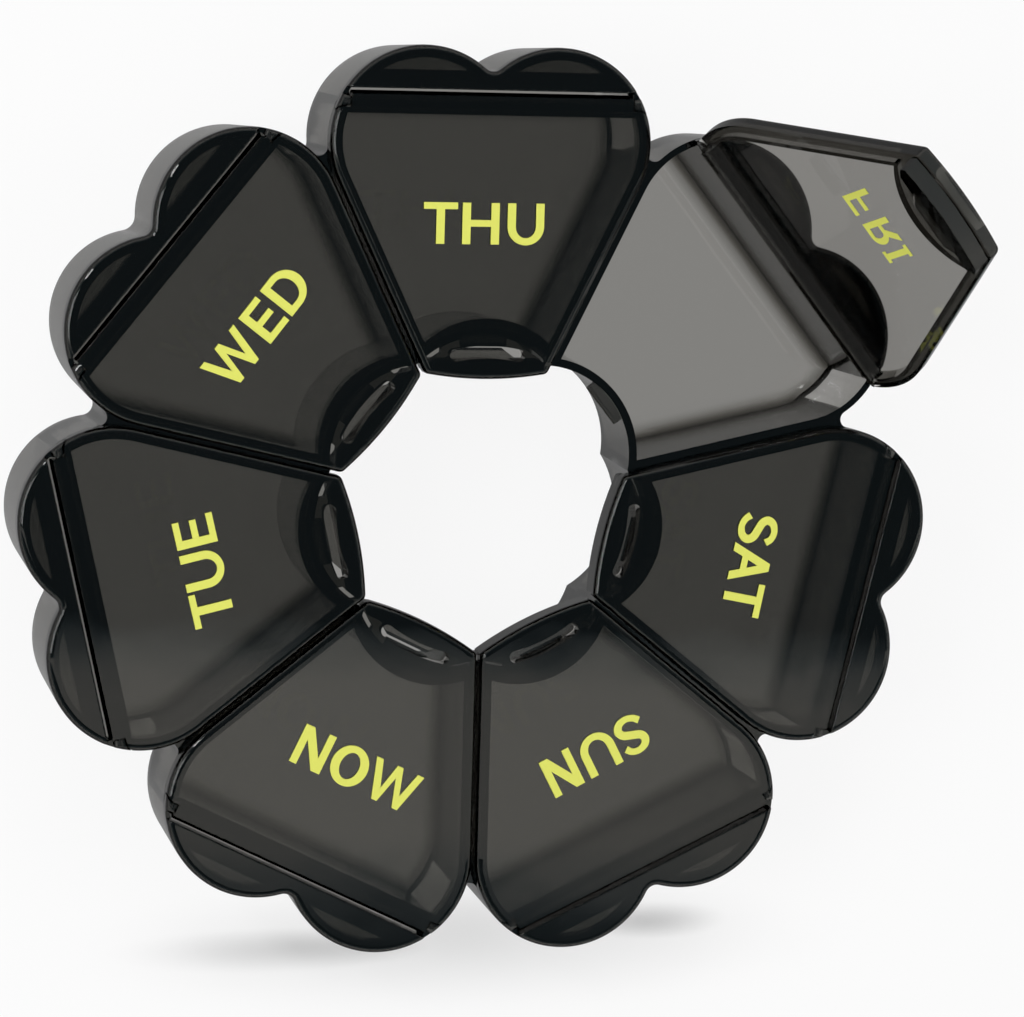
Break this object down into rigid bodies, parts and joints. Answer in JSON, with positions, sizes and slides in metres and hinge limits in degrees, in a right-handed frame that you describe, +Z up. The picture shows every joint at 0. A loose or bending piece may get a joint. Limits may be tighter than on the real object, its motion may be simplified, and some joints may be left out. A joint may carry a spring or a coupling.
{
  "type": "weekly pill organizer",
  "caption": "Flat ring of petal-shaped pill compartments round an open centre, each under a hinged snap lid of smoke-tinted clear plastic.",
  "frame": {"origin": "centre of the ring, on the plane that the tray's flat underside rests on", "axes": "+Z up, out of the closed lids; +Y from the centre of the ring along the pod_thu petal; the other days follow clockwise seen from above"},
  "size_m": [0.157, 0.1539, 0.0687],
  "materials": {
    "smoke_pod": "glossy smoke-tinted clear plastic, injection moulded",
    "smoke_cap": "glossy smoke-tinted clear plastic, injection moulded",
    "smoke_lid": "glossy smoke-tinted clear plastic, injection moulded",
    "lime_ink": "opaque lime yellow pad-printed ink of the weekday letters"
  },
  "bodies": {
    "tray": {"pod_thu": "smoke_pod", "pod_fri": "smoke_pod", "pod_sat": "smoke_pod", "pod_sun": "smoke_pod", "pod_mon": "smoke_pod", "pod_tue": "smoke_pod", "pod_wed": "smoke_pod", "cap_thu": "smoke_cap", "cap_fri": "smoke_cap", "cap_sat": "smoke_cap", "cap_sun": "smoke_cap", "cap_mon": "smoke_cap", "cap_tue": "smoke_cap", "cap_wed": "smoke_cap"},
    "lid_thu": {"lid_thu": "smoke_lid"},
    "lid_fri": {"lid_fri": "smoke_lid"},
    "lid_sat": {"lid_sat": "smoke_lid"},
    "lid_sun": {"lid_sun": "smoke_lid"},
    "lid_mon": {"lid_mon": "smoke_lid"},
    "lid_tue": {"lid_tue": "smoke_lid"},
    "lid_wed": {"lid_wed": "smoke_lid"}
  },
  "joints": [
    {"name": "lid_thu_hinge", "type": "hinge", "parent": "tray", "child": "lid_thu", "pos_m": [0, 0.0679, 0.0252], "axis": [-1, 0, 0], "range_deg": [0, 116.5]},
    {"name": "lid_fri_hinge", "type": "hinge", "parent": "tray", "child": "lid_fri", "pos_m": [0.05308, 0.04233, 0.0252], "axis": [-0.6235, 0.7818, 0], "range_deg": [-116.5, 0]},
    {"name": "lid_sat_hinge", "type": "hinge", "parent": "tray", "child": "lid_sat", "pos_m": [0.06619, -0.01511, 0.0252], "axis": [0.2225, 0.9749, 0], "range_deg": [0, 116.5]},
    {"name": "lid_sun_hinge", "type": "hinge", "parent": "tray", "child": "lid_sun", "pos_m": [0.02946, -0.06117, 0.0252], "axis": [0.901, 0.4339, 0], "range_deg": [0, 116.5]},
    {"name": "lid_mon_hinge", "type": "hinge", "parent": "tray", "child": "lid_mon", "pos_m": [-0.02946, -0.06117, 0.0252], "axis": [0.901, -0.4339, 0], "range_deg": [0, 116.5]},
    {"name": "lid_tue_hinge", "type": "hinge", "parent": "tray", "child": "lid_tue", "pos_m": [-0.06619, -0.01511, 0.0252], "axis": [0.2225, -0.9749, 0], "range_deg": [0, 116.5]},
    {"name": "lid_wed_hinge", "type": "hinge", "parent": "tray", "child": "lid_wed", "pos_m": [-0.05308, 0.04233, 0.0252], "axis": [-0.6235, -0.7818, 0], "range_deg": [0, 116.5]}
  ]
}
